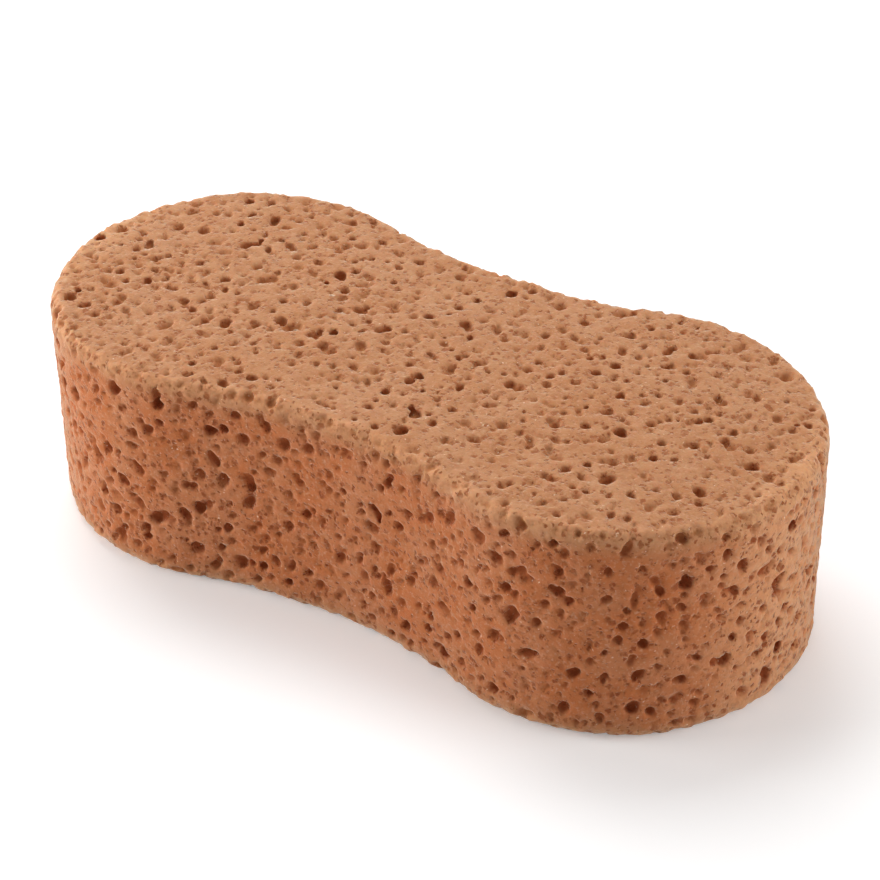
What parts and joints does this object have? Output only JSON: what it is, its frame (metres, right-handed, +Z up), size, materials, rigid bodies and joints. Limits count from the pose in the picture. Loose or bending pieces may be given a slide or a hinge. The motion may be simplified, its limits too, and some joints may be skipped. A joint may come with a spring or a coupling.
{
  "type": "grout sponge",
  "caption": "Figure-eight block of coarse open-cell foam with a waist to grip, for washing tile and wiping off grout.",
  "frame": {"origin": "on the table, under the middle of the block as it lies on a broad face", "axes": "+X along the length, +Y across the width, +Z up through the thickness"},
  "size_m": [0.22, 0.103, 0.0625],
  "materials": {
    "foam": "matt terracotta open-cell foam, pale on the cut skin and dark russet inside the cells"
  },
  "bodies": {
    "root": {"sponge": "foam"}
  },
  "joints": []
}
